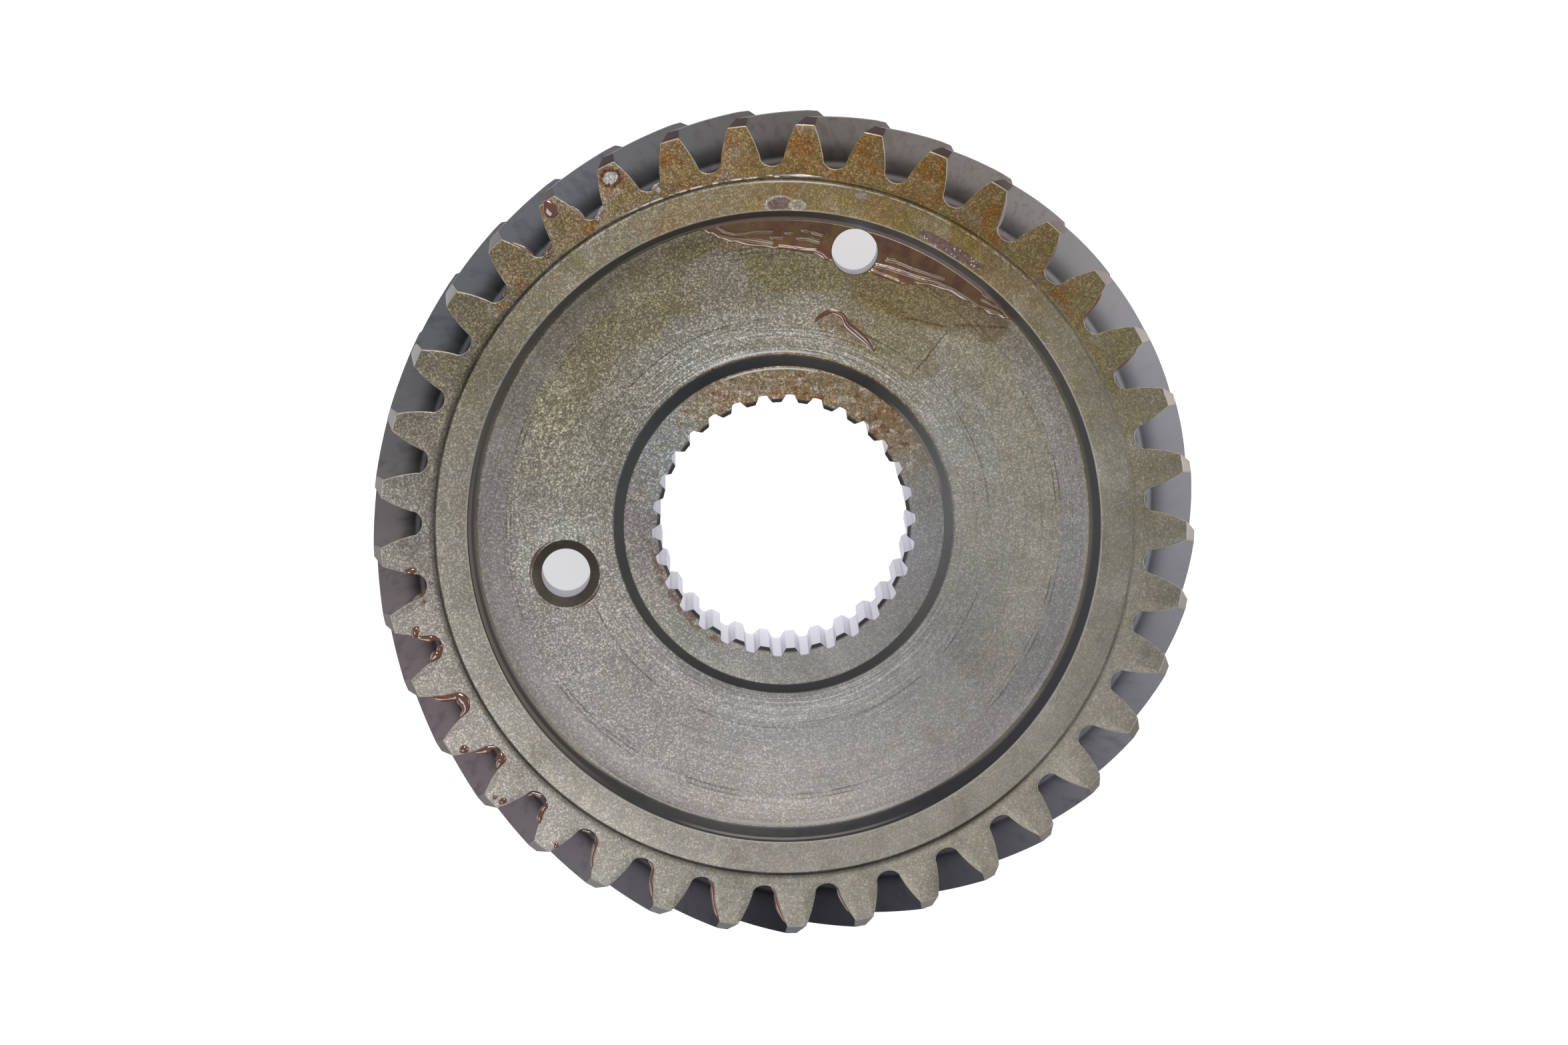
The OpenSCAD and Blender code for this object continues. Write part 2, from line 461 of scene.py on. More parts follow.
def make_hub(materials):
    """Spline on the inside and turned faces on the outside, as one closed loft."""
    chamfer_steps = 4
    inner = []
    for i in range(chamfer_steps + 1):
        depth = SPLINE_CHAMFER * i / chamfer_steps
        inner.append((HUB_TOP - depth, SPLINE_MINOR + SPLINE_CHAMFER - depth))
    wall_steps = 6
    start = HUB_TOP - SPLINE_CHAMFER
    length = HUB_TOP - HUB_BOTTOM - 2 * SPLINE_CHAMFER
    for i in range(1, wall_steps):
        inner.append((start - length * i / wall_steps, SPLINE_MINOR))
    for i in range(chamfer_steps + 1):
        depth = SPLINE_CHAMFER * (1 - i / chamfer_steps)
        inner.append((HUB_BOTTOM + depth, SPLINE_MINOR + SPLINE_CHAMFER - depth))
    rings = []
    for height, limit in inner:
        rings.append([(x, y, height) for x, y in spline_outline(limit)])
    points = spline_outline(SPLINE_MINOR)
    seat = SPLINE_MAJOR + 0.3 * MM
    foot = 0.25 * MM
    corners = [
        (seat, HUB_BOTTOM, 0),
        (REAR_HUB_RADIUS - REAR_HUB_CHAMFER, HUB_BOTTOM, 0.2 * MM),
        (REAR_HUB_RADIUS, HUB_BOTTOM + REAR_HUB_CHAMFER, 0.2 * MM),
        (REAR_HUB_RADIUS + SINK, WEB_BOTTOM - SINK, 1.0 * MM),
        (HUB_BASE_RADIUS + 0.6 * MM, WEB_BOTTOM, 0),
        (HUB_BASE_RADIUS, WEB_BOTTOM + SEAM, 0),
        (HUB_BASE_RADIUS, WEB_TOP - SEAM, 0),
        (HUB_BASE_RADIUS + foot, WEB_TOP, 0),
        (HUB_BASE_RADIUS + SINK, WEB_TOP + SINK, foot),
        (HUB_FACE_RADIUS, HUB_TOP, 0.2 * MM),
        (seat, HUB_TOP, 0),
    ]
    for radius, height in fillet_corners(corners):
        rings.append(ring_at(points, radius, height))
    piece = loft("splined_hub_detail", rings, materials)
    return finish_piece(piece, ["splined_hub"])


# ---------------- oil

def gap_edge(gap, start, end):
    """Edge of the front face round a tooth gap: -1 is one tip, 0 the root and 1 the other tip."""
    pairs_on_tip = 6
    pairs = half_tooth(TIP_RADIUS - TIP_CHAMFER)[:-pairs_on_tip]
    half_pitch = math.pi / TOOTH_COUNT
    centre = FIRST_TOOTH + (2 * gap + 1) * half_pitch
    before = [(radius, centre - half_pitch + half) for radius, half in reversed(pairs)]
    after = [(radius, centre + half_pitch - half) for radius, half in pairs[1:]]
    route = before + after
    middle = len(before) - 1
    first = round(middle + start * middle)
    last = round(middle + end * middle)
    return [Vector(polar(*route[i])) for i in range(first, last + 1)]


def smooth_route(points):
    """Points along a curve through the given ones, about a ROUTE_STEP apart."""
    route = []
    ends = [points[0] * 2 - points[1]] + list(points) + [points[-1] * 2 - points[-2]]
    for p0, p1, p2, p3 in zip(ends, ends[1:], ends[2:], ends[3:]):
        pieces = max(1, round((p2 - p1).length / ROUTE_STEP))
        for k in range(pieces):
            t = k / pieces
            square = (2 * p0 - 5 * p1 + 4 * p2 - p3) * t ** 2
            cube = (3 * p1 - p0 - 3 * p2 + p3) * t ** 3
            route.append(p1 + ((p2 - p0) * t + square + cube) / 2)
    route.append(ends[-2])
    return route


def arc_route(centre, radius, start, end, steps):
    """Points along an arc between two directions in degrees."""
    route = []
    for i in range(steps + 1):
        angle = math.radians(start + (end - start) * i / steps)
        route.append(Vector(centre) + Vector(polar(radius, angle)))
    return route


class OilMesh:
    """Collects raised threads and beads of oil in one mesh."""

    def __init__(self, seed):
        self.vertices = []
        self.faces = []
        self.chance = random.Random(seed)

    def thread(self, route, width, height, floor, shift=0.0):
        """A rounded ridge along a route, tapered at both ends and a little uneven."""
        across = 8
        thinnest = 0.02
        count = len(route)
        first = len(self.vertices)
        phase = self.chance.uniform(0, 6)
        for i, point in enumerate(route):
            ahead = route[min(i + 1, count - 1)] - route[max(i - 1, 0)]
            side = Vector((-ahead.y, ahead.x)).normalized()
            share = i / (count - 1)
            taper = math.sin(math.pi * share) ** 0.45
            size = max(taper * (1 + 0.22 * math.sin(share * 9 + phase)), thinnest)
            centre = point + side * (shift * max(taper, 0.3))
            for k in range(across + 1):
                turn = math.pi * k / across
                spot = centre + side * (width / 2 * size * math.cos(turn))
                self.vertices.append((spot.x, spot.y, floor - SINK + height * size * math.sin(turn)))
        ring = across + 1
        self.faces += strips(count, ring, first)
        self.faces.append([first + k for k in reversed(range(ring))])
        self.faces.append([first + (count - 1) * ring + k for k in range(ring)])

    def bead(self, x, y, long, short, height, floor, turn=0.0):
        """A flattened drop with an egg-shaped outline."""
        around = 28
        rows = 7
        first = len(self.vertices)
        phase = self.chance.uniform(0, 6)
        for narrow, climb in quarter(rows):
            for i in range(around):
                angle = FULL_TURN * i / around
                wave = 1 + 0.08 * math.sin(2 * angle + phase) + 0.05 * math.sin(3 * angle + 2 * phase)
                a = long * wave * narrow * math.cos(angle)
                b = short * wave * narrow * math.sin(angle)
                px = x + a * math.cos(turn) - b * math.sin(turn)
                py = y + a * math.sin(turn) + b * math.cos(turn)
                self.vertices.append((px, py, floor - SINK + height * climb))
        top = len(self.vertices)
        self.vertices.append((x, y, floor - SINK + height))
        self.faces += strips(rows, around, first)
        last = top - around
        for i in range(around):
            self.faces.append((last + i, last + (i + 1) % around, top))
        self.faces.append([first + i for i in reversed(range(around))])

    def make(self, name, material):
        return finish_piece(new_object(name, self.vertices, self.faces, [material]))


# Oil caught along the edges of the tooth gaps: number of the gap, where it starts and ends as
# shares of the edge, then width, height and shift into the metal in mm.
EDGE_OIL = [
    (19, 0.00, 0.62, 1.10, 0.34, 0.45),
    (19, -0.70, -0.10, 0.80, 0.26, 0.45),
    (20, -0.85, 0.55, 1.35, 0.42, 0.52),
    (21, -0.72, -0.08, 0.90, 0.30, 0.42),
    (21, 0.00, 0.55, 1.25, 0.38, 0.48),
    (22, -0.48, 0.10, 0.60, 0.20, 0.40),
    (22, 0.22, 0.75, 0.80, 0.28, 0.32),
    (23, 0.10, 0.90, 0.48, 0.18, 0.28),
    (23, -0.30, 0.05, 0.26, 0.10, 0.30),
    (24, 0.05, 0.95, 0.46, 0.16, 0.26),
    (25, 0.10, 0.98, 0.50, 0.18, 0.28),
    (26, 0.15, 0.98, 0.46, 0.16, 0.26),
    (27, 0.25, 0.90, 0.34, 0.12, 0.24),
    (18, 0.10, 0.62, 0.40, 0.15, 0.30),
    (1, 0.20, 0.90, 0.22, 0.08, 0.14),
    (2, 0.15, 0.92, 0.28, 0.10, 0.16),
    (3, 0.15, 0.95, 0.32, 0.11, 0.18),
    (4, 0.20, 0.95, 0.30, 0.11, 0.18),
    (10, -0.30, 0.02, 0.45, 0.20, 0.25),
    (11, -0.42, 0.00, 0.50, 0.22, 0.25),
    (11, 0.30, 0.75, 0.34, 0.15, 0.20),
    (12, -0.38, -0.02, 0.48, 0.20, 0.25),
    (12, 0.40, 0.92, 0.42, 0.18, 0.25),
    (13, -0.25, 0.00, 0.30, 0.12, 0.25),
]

# Separate drops on the front faces of teeth: x, y, long, short, height, turn in degrees, all in mm.
TOOTH_DROPS = [
    (-55.9, -15.9, 0.85, 0.65, 0.50, 80),
    (-56.6, -6.7, 0.95, 0.55, 0.42, 10),
    (-48.6, -33.9, 0.80, 0.60, 0.42, 20),
    (-42.7, -41.8, 0.70, 0.50, 0.35, 40),
    (-43.9, -41.2, 0.45, 0.30, 0.22, 40),
    (-34.6, -48.6, 0.50, 0.38, 0.22, 60),
    (-35.3, 48.3, 1.60, 1.00, 0.34, 130),
    (-28.1, 46.8, 0.55, 0.45, 0.34, 120),
    (-19.0, 51.1, 0.55, 0.42, 0.34, 110),
    (-35.8, 41.3, 0.60, 0.38, 0.30, 130),
    (-53.5, -8.5, 0.30, 0.25, 0.12, 0),
    (-54.6, -11.4, 0.50, 0.22, 0.12, 30),
]

# Ripples in the puddle, as (x, y) points in mm.
RIPPLES = [
    [(-9.9, 45.2), (-8.8, 44.4), (-7.3, 44.1), (-5.8, 44.2), (-4.3, 44.5), (-1.7, 44.5)],
    [(-9.7, 43.9), (-7.9, 43.5), (-5.8, 43.3), (-3.7, 43.0), (-1.7, 42.6)],
    [(-0.8, 42.2), (1.3, 42.0), (3.1, 41.7), (4.8, 41.6), (6.0, 41.0), (6.6, 40.4)],
    [(-1.7, 43.6), (-0.2, 43.6)],
    [(0.5, 44.3), (1.3, 44.3)],
    [(2.2, 43.5), (3.7, 43.4), (5.4, 42.9)],
    [(3.0, 44.7), (3.8, 44.6)],
    [(4.5, 44.4), (5.9, 44.0)],
    [(15.7, 40.2), (17.3, 39.9), (19.4, 39.0), (21.7, 38.2), (24.4, 37.3)],
    [(14.0, 39.4), (15.8, 39.0), (17.9, 38.3), (20.5, 37.4), (23.2, 36.8), (25.6, 35.8), (27.9, 34.3),
     (29.4, 33.2), (31.4, 32.6), (33.0, 32.0)],
    [(13.3, 38.6), (15.2, 37.8), (17.5, 36.9)],
    [(29.1, 36.6), (30.8, 35.0)],
    [(30.4, 35.0), (32.3, 33.5)],
    [(30.2, 34.1), (33.0, 32.8)],
]

# Thin outline of a dried tongue of oil on the web, as (x, y) points in mm.
TONGUE = [
    (4.6, 30.6), (5.7, 31.7), (7.3, 32.3), (8.9, 31.7), (9.7, 30.3), (11.2, 29.0), (12.6, 27.7),
    (13.6, 26.4), (14.2, 27.1),
]

# Inner shore of the puddle: direction in degrees and radius in mm.
SHORE = [
    (42, 46.3), (43.5, 45.5), (46, 44.6), (49, 43.9), (54, 43.4), (58, 42.6), (61, 41.7), (64, 40.5),
    (70, 40.3), (80, 40.5), (84, 41.3), (91, 41.8), (96, 42.4), (100, 43.4), (102.5, 44.4), (104, 45.4),
    (105.5, 46.3),
]

# Sizes of the puddle, in mm.
FILM = 0.13
FILM_SINK = 0.01
FILM_FOOT = 0.03
SHORE_WIDTH = 0.5
LIP_REACH = 0.12
LIP_WIDTH = 0.4
LIP_HEIGHT = 0.45
RIPPLE_HEIGHT = 0.2
RIPPLE_OUTSIDE = 0.32
RIPPLE_INSIDE = 0.2


def distance_to_route(spot, route):
    """Distance to a chain of points, and the side: positive away from the gear axis."""
    best = 1e9
    side = 1.0
    for a, b in zip(route, route[1:]):
        along = b - a
        share = max(0.0, min(1.0, (spot - a).dot(along) / along.length_squared))
        nearest = a + along * share
        gap = (spot - nearest).length
        if gap < best:
            best = gap
            side = 1.0 if spot.length > nearest.length else -1.0
    return best, side


def puddle_inner_radius(degrees):
    """Inner shore of the puddle, in mm, with soft turns between the given points."""
    for (before, near), (after, far) in zip(SHORE, SHORE[1:]):
        if degrees <= after:
            share = max(0.0, (degrees - before) / (after - before))
            share = share * share * (3 - 2 * share)
            return near + (far - near) * share + 0.05 * math.sin(degrees * 1.9)
    return SHORE[-1][1]


def ripple_height(x, y, ripples):
    """How far the ripples raise the puddle at a place, all in mm."""
    height = 0.0
    for route, x0, x1, y0, y1 in ripples:
        if x0 < x < x1 and y0 < y < y1:
            gap, side = distance_to_route(Vector((x, y)), route)
            reach = RIPPLE_OUTSIDE if side > 0 else RIPPLE_INSIDE
            if gap < reach:
                height += RIPPLE_HEIGHT * (1 - gap / reach)
    return height


def make_puddle(material):
    """A thin film in the upper part of the recess, with raised ripples and a lip up the wall."""
    columns = 420
    rows = 54
    ripples = []
    for ripple in RIPPLES:
        xs, ys = zip(*ripple)
        route = [Vector(point) for point in ripple]
        ripples.append((route, min(xs) - 1, max(xs) + 1, min(ys) - 1, max(ys) + 1))
    vertices = []
    outer = FLOOR_RADIUS / MM + LIP_REACH
    for i in range(columns + 1):
        degrees = SHORE[0][0] + (SHORE[-1][0] - SHORE[0][0]) * i / columns
        inner = puddle_inner_radius(degrees)
        for k in range(rows + 1):
            radius = inner + (outer - inner) * k / rows
            x, y = polar(radius, math.radians(degrees))
            shore = min(1.0, (radius - inner) / SHORE_WIDTH)
            lip = max(0.0, 1 - (outer - radius) / LIP_WIDTH)
            height = FILM * math.sqrt(max(0.0, 1 - (1 - shore) ** 2)) - FILM_SINK
            height += LIP_HEIGHT * lip ** 2 + ripple_height(x, y, ripples)
            vertices.append((x * MM, y * MM, WEB_TOP + height * MM))
    faces = strips(columns + 1, rows + 1, loop_points=False)
    edge = [i * (rows + 1) for i in range(columns + 1)]
    edge += [columns * (rows + 1) + k for k in range(1, rows + 1)]
    edge += [i * (rows + 1) + rows for i in reversed(range(columns))]
    edge += [k for k in reversed(range(1, rows))]
    below = len(vertices)
    for index in edge:
        x, y, _ = vertices[index]
        vertices.append((x, y, WEB_TOP - FILM_FOOT * MM))
    count = len(edge)
    for i in range(count):
        after = (i + 1) % count
        faces.append((edge[i], edge[after], below + after, below + i))
    faces.append([below + i for i in reversed(range(count))])
    piece = new_object("oil_puddle", vertices, faces, [material])
    radius = UPPER_HOLE_RADIUS + HOLE_MOUTH
    cut(piece, drill(UPPER_HOLE, [(radius, WEB_TOP - SPARE), (radius, WEB_TOP + SPARE)]))
    return finish_piece(piece, sharp_angle=60)


def make_oil(material):
    """Threads and drops of oil on the teeth, the land corner and the web."""
    teeth = OilMesh(3)
    for gap, start, end, width, height, shift in EDGE_OIL:
        route = smooth_route(gap_edge(gap, start, end))
        teeth.thread(route, 1.15 * width * MM, height * MM, TOOTH_TOP, -1.1 * shift * MM)
    for *sizes, turn in TOOTH_DROPS:
        teeth.bead(*[size * MM for size in sizes], TOOTH_TOP, math.radians(turn))
    teeth.make("oil_on_teeth", material)

    beads = 46
    corner = OilMesh(5)
    for start, end, width in ((83.6, 91.2, 0.46), (91.6, 93.0, 0.3)):
        route = arc_route((0, 0), LAND_RADIUS + 0.55 * MM, start, end, 60)
        corner.thread(route, width * MM, 0.22 * MM, TOOTH_TOP)
    chance = random.Random(11)
    for _ in range(beads):
        angle = math.radians(chance.uniform(96, 142))
        far = (53.6 + chance.uniform(0, 0.7)) * MM
        size = chance.uniform(0.07, 0.16) * MM
        x, y = polar(far, angle)
        corner.bead(x, y, size, size * 0.85, size * 0.8, TOOTH_TOP)
    corner.make("oil_in_land_corner", material)

    web = OilMesh(7)
    tongue = smooth_route([Vector((x * MM, y * MM)) for x, y in TONGUE])
    web.thread(tongue, 1.1 * MM, 0.1 * MM, WEB_TOP)
    web.thread(tongue, 0.5 * MM, 0.26 * MM, WEB_TOP, 0.1 * MM)
    for start, end, width in ((112, 208, 0.34), (222, 262, 0.2), (278, 348, 0.3)):
        route = arc_route(SIDE_HOLE.xy, COUNTERSINK_RADIUS + 0.22 * MM, start, end, 50)
        web.thread(route, width * MM, 0.1 * MM, WEB_TOP)
    web.make("oil_on_web", material)


# ---------------- materials

class Paint:
    """Short names for the shader nodes of one material, in the gear's own polar coordinates."""

    def __init__(self, name):
        self.material = bpy.data.materials.new(name)
        self.material.use_nodes = True
        self.tree = self.material.node_tree
        self.shader = self.tree.nodes["Principled BSDF"]
        self.place = self.add("TexCoord").outputs["Object"]
        split = self.add("SeparateXYZ", Vector=self.place)
        self.x, self.y, self.z = [self.times(output, 1 / MM) for output in split.outputs]
        squares = self.plus(self.times(self.x, self.x), self.times(self.y, self.y))
        self.radius = self.math("SQRT", squares)
        self.turn = self.math("ARCTAN2", self.y, self.x)
        self.angle = self.times(self.turn, 180 / math.pi)

    def link(self, value, socket):
        if isinstance(value, bpy.types.NodeSocket):
            self.tree.links.new(value, socket)
        else:
            socket.default_value = value

    def feed(self, node, inputs):
        """Links or sets inputs of a node by name; _ stands for a space."""
        for name, value in inputs.items():
            self.link(value, node.inputs[name.replace("_", " ")])
        return node

    def add(self, kind, **inputs):
        return self.feed(self.tree.nodes.new("ShaderNode" + kind), inputs)

    def math(self, operation, first, second=0.0):
        node = self.tree.nodes.new("ShaderNodeMath")
        node.operation = operation
        self.link(first, node.inputs[0])
        self.link(second, node.inputs[1])
        return node.outputs[0]

    def times(self, first, *others):
        for other in others:
            first = self.math("MULTIPLY", first, other)
        return first

    def plus(self, first, second):
        return self.math("ADD", first, second)

    def minus(self, first, second):
        return self.math("SUBTRACT", first, second)

    def most(self, first, *others):
        for other in others:
            first = self.math("MAXIMUM", first, other)
        return first

    def rise(self, value, low, high):
        """Smooth step from 0 at low to 1 at high; low may lie above high."""
        start, end = (1.0, 0.0) if low > high else (0.0, 1.0)
        low, high = min(low, high), max(low, high)
        node = self.add("MapRange", Value=value, From_Min=low, From_Max=high, To_Min=start, To_Max=end)
        node.interpolation_type = "SMOOTHSTEP"
        return node.outputs["Result"]

    def band(self, value, low, high, soft):
        """1 between low and high, fading to 0 over soft on both sides."""
        return self.times(self.rise(value, low - soft, low), self.rise(value, high + soft, high))

    def sector(self, centre, reach, soft, wobble=None, amount=0.0):
        """1 within reach degrees of a direction, fading out over soft degrees."""
        turned = self.minus(self.angle, centre - 180 - 360)
        if wobble is not None:
            turned = self.plus(turned, self.times(self.minus(wobble, 0.5), amount))
        distance = self.math("ABSOLUTE", self.minus(self.math("MODULO", turned, 360), 180))
        return self.rise(distance, reach + soft, reach)

    def arc(self, low, high, soft, centre, reach, fade):
        """1 between two radii and within reach degrees of a direction."""
        return self.times(self.band(self.radius, low, high, soft), self.sector(centre, reach, fade))

    def noise(self, scale, detail=3.0, roughness=0.6, stretch=(1, 1, 1), offset=0.0):
        """Noise from 0 to 1 with scale in features per millimetre."""
        place = self.place
        if offset or stretch != (1, 1, 1):
            shift = (offset, offset * 0.7, offset * 0.3)
            place = self.add("Mapping", Vector=place, Location=shift, Scale=stretch).outputs["Vector"]
        node = self.add("TexNoise", Vector=place, Scale=scale / MM, Detail=detail, Roughness=roughness)
        return node.outputs["Fac"]

    def waver(self, scale, detail, roughness, offset=0.0):
        """Noise from -0.5 to 0.5."""
        return self.minus(self.noise(scale, detail, roughness, offset=offset), 0.5)

    def turned_noise(self, across, along):
        """Noise drawn out along circles round the gear axis: fine across, long along."""
        far = self.times(self.radius, across)
        cosine = self.times(self.math("COSINE", self.turn), along)
        sine = self.times(self.math("SINE", self.turn), along)
        place = self.add("CombineXYZ", X=far, Y=cosine, Z=sine).outputs["Vector"]
        node = self.add("TexNoise", Vector=place, Scale=1.0, Detail=4.0, Roughness=0.65)
        return node.outputs["Fac"]

    def cells(self, scale):
        """Three random numbers for each small cell, and the distance to the middle of the cell."""
        node = self.add("TexVoronoi", Vector=self.place, Scale=scale / MM)
        split = self.add("SeparateColor", Color=node.outputs["Color"])
        return split.outputs, node.outputs["Distance"]

    def sparkle_specks(self, scale, share):
        """Scattered bright points of painted sparkle: 1 on about the given share of the cells."""
        chance, distance = self.cells(scale)
        chosen = self.rise(chance[0], 0.95 - share, 1.05 - share)
        return self.times(chosen, self.rise(distance, 0.45, 0.1))

    def grain_and_sparkle(self, colour, amount, tint, damp=0.0):
        """Fine grains, each a little brighter or darker and warmer or cooler than the steel; the few
        brightest are painted sparkle, and the grains show more strongly towards the upper left.
        """
        chance, _ = self.cells(5.0)
        lit = self.minus(self.math("POWER", chance[0], 3), 0.25)
        fine = self.waver(3.6, 2, 0.7, offset=0.37)
        change = self.plus(self.times(lit, 2.6), self.times(fine, 2.2))
        wave = self.times(self.math("COSINE", self.turn), -0.18)
        wave = self.plus(wave, self.times(self.math("SINE", self.turn), 0.17))
        local = self.times(self.plus(wave, 0.55), amount)
        local = self.times(local, self.minus(1, self.times(damp, 0.35)))
        level = self.math("MAXIMUM", self.plus(self.times(change, local), 1), 0.25)
        gold = (1 + 0.1 * tint, 1, 1 - 0.3 * tint)
        white = (1 - 0.1 * tint, 1, 1 + 0.3 * tint)
        warm = self.mix(chance[1], gold, white)
        grey = self.add("CombineColor", Red=level, Green=level, Blue=level).outputs[0]
        return self.mix(1.0, self.mix(1.0, colour, warm, "MULTIPLY"), grey, "MULTIPLY")

    def spot(self, x, y, long, short, turn=0.0, soft=0.3, ragged=0.5):
        """1 inside an oval patch with an uneven edge; sizes in mm, turn in degrees."""
        dx = self.minus(self.x, x)
        dy = self.minus(self.y, y)
        cosine = math.cos(math.radians(turn))
        sine = math.sin(math.radians(turn))
        along = self.math("DIVIDE", self.plus(self.times(dx, cosine), self.times(dy, sine)), long)
        across = self.math("DIVIDE", self.minus(self.times(dy, cosine), self.times(dx, sine)), short)
        distance = self.math("SQRT", self.plus(self.times(along, along), self.times(across, across)))
        uneven = self.waver(2.4 / max(long, short), 4, 0.65, offset=0.61)
        distance = self.plus(distance, self.times(uneven, ragged * 2))
        return self.rise(distance, 1 + soft / 2, 1 - soft / 2)

    def stroke(self, start, end, width, ragged=0.6):
        """1 on a thin uneven line between two points; all in mm."""
        run = Vector(end) - Vector(start)
        along = run.normalized()
        dx = self.minus(self.x, start[0])
        dy = self.minus(self.y, start[1])
        place = self.plus(self.times(dx, along.x), self.times(dy, along.y))
        aside = self.minus(self.times(dx, along.y), self.times(dy, along.x))
        uneven = self.waver(0.5, 3, 0.6, offset=0.77)
        aside = self.math("ABSOLUTE", self.plus(aside, self.times(uneven, ragged)))
        half = run.length / 2
        beside = self.math("ABSOLUTE", self.minus(place, half))
        line = self.rise(aside, width, width * 0.5)
        return self.times(line, self.rise(beside, half + 0.4, half - 0.2))

    def around(self, colours, gain, wobble=0.0):
        """One colour per 30 degrees, blended round the gear axis, as seen under the studio light: the
        light, shade and reflections that fall differently on each side are painted into the colour.
        """
        turned = self.math("DIVIDE", self.angle, 360)
        if wobble:
            cloud = self.waver(0.1, 4, 0.6, offset=0.8)
            turned = self.plus(turned, self.times(cloud, wobble / 360))
        stops = []
        for i in range(len(colours) + 1):
            shown = srgb(*colours[i % len(colours)])
            stops.append((i / len(colours), [min(0.95, value * gain) for value in shown]))
        return self.ramp(self.math("FRACT", self.plus(turned, 2)), stops)

    def ramp(self, value, stops):
        """Blends between stops of (value, linear colour)."""
        node = self.add("ValToRGB", Fac=value)
        elements = node.color_ramp.elements
        while len(elements) < len(stops):
            elements.new(0.5)
        for i, (position, _) in enumerate(stops):
            elements[i].position = position
        for i, (_, colour) in enumerate(stops):
            elements[i].color = (*colour, 1)
        return node.outputs["Color"]

    def mix(self, factor, first, second, blend="MIX"):
        node = self.tree.nodes.new("ShaderNodeMix")
        node.data_type = "RGBA"
        node.blend_type = blend
        self.link(factor, node.inputs["Factor"])
        for value, socket in ((first, node.inputs["A"]), (second, node.inputs["B"])):
            self.link((*value, 1) if isinstance(value, tuple) else value, socket)
        return node.outputs["Result"]

    def coats(self, colour, *rows):
        """Lays colours over the first, from rows of (mask, strength, colour in 0 to 255 values)."""
        for mask, strength, over in rows:
            colour = self.mix(self.times(mask, strength), colour, srgb(*over))
        return colour

    def bump(self, height, strength, distance, normal=None):
        node = self.add("Bump", Height=height, Strength=strength, Distance=distance)
        if normal is not None:
            self.feed(node, {"Normal": normal})
        return node.outputs["Normal"]

    def finish(self, **inputs):
        self.feed(self.shader, inputs)
        return self.material


def srgb(red, green, blue):
    """Linear colour from the usual 0 to 255 values."""
    values = []
    for value in (red, green, blue):
        share = value / 255
        values.append(share / 12.92 if share <= 0.04045 else ((share + 0.055) / 1.055) ** 2.4)
    return tuple(values)


# Colours of the surfaces as they look from above, one per 30 degrees from the +X side: the stains of the
# faces together with the painted light, shade and reflections that change round the gear.
TOOTH_FACE = [
    (130, 125, 112), (116, 106, 78), (114, 94, 64), (132, 106, 68), (132, 114, 88), (110, 103, 86),
    (130, 125, 118), (158, 151, 143), (154, 149, 141), (145, 140, 129), (151, 145, 132), (145, 139, 128),
]
LAND_FACE = [
    (126, 122, 110), (126, 120, 105), (118, 98, 58), (134, 116, 80), (136, 128, 110), (124, 118, 102),
    (139, 134, 124), (154, 149, 139), (167, 161, 151), (148, 142, 134), (145, 139, 129), (133, 128, 118),
]
WEB_OUTER = [
    (141, 137, 134), (144, 138, 130), (134, 118, 88), (130, 114, 86), (118, 111, 92), (118, 113, 107),
    (128, 123, 120), (148, 143, 140), (167, 161, 157), (179, 172, 166), (150, 144, 141), (128, 124, 124),
]
WEB_MIDDLE = [
    (146, 141, 130), (141, 136, 122), (134, 126, 100), (124, 118, 98), (123, 115, 92), (125, 118, 99),
    (141, 136, 129), (150, 146, 142), (157, 152, 148), (164, 159, 154), (152, 148, 143), (136, 132, 126),
]
WEB_INNER = [
    (146, 142, 133), (148, 145, 140), (138, 132, 113), (147, 141, 129), (138, 135, 127), (131, 126, 114),
    (144, 140, 131), (152, 147, 141), (151, 146, 142), (157, 154, 152), (146, 143, 140), (131, 128, 124),
]
HUB_FACE = [
    (132, 131, 131), (126, 121, 112), (130, 122, 106), (142, 136, 116), (136, 134, 122), (140, 142, 142),
    (126, 121, 118), (139, 135, 128), (141, 139, 133), (137, 135, 130), (137, 134, 130), (130, 126, 126),
]
# Painted shade of the recess wall, darkest towards the bottom.
RECESS_WALL_SHADE = [
    (84, 86, 92), (86, 88, 94), (86, 86, 90), (78, 78, 80), (84, 84, 86), (116, 114, 114),
    (120, 118, 116), (98, 96, 92), (48, 49, 54), (32, 34, 40), (56, 58, 65), (84, 86, 93),
]
# Painted shade of the hub wall, darkest towards the top.
HUB_WALL_SHADE = [
    (128, 131, 134), (112, 114, 116), (56, 56, 60), (44, 47, 52), (56, 61, 68), (94, 98, 103),
    (92, 94, 97), (90, 90, 92), (78, 79, 82), (80, 81, 84), (96, 97, 99), (136, 137, 136),
]
# Painted light and shade of the tooth flanks, darkest towards the bottom.
FLANK_LIGHT_AND_SHADE = [
    (146, 146, 150), (156, 154, 156), (130, 124, 118), (102, 98, 94), (104, 105, 108), (92, 94, 96),
    (104, 99, 98), (114, 102, 105), (108, 104, 108), (34, 35, 41), (80, 80, 85), (130, 128, 133),
]
# Painted reflection of the studio in the tip chamfers, dark towards the top.
TIP_CHAMFER_REFLECTION = [
    (140, 135, 125), (144, 134, 128), (62, 50, 48), (64, 56, 54), (64, 56, 54), (138, 135, 133),
    (108, 104, 102), (96, 90, 88), (112, 108, 106), (92, 94, 98), (114, 108, 100), (98, 92, 85),
]
FACE_GAIN = 1.65
WALL_GAIN = 1.5
METALLIC = 0.75
BLAST_DEPTH = 0.06 * MM
LINE_DEPTH = 0.05 * MM

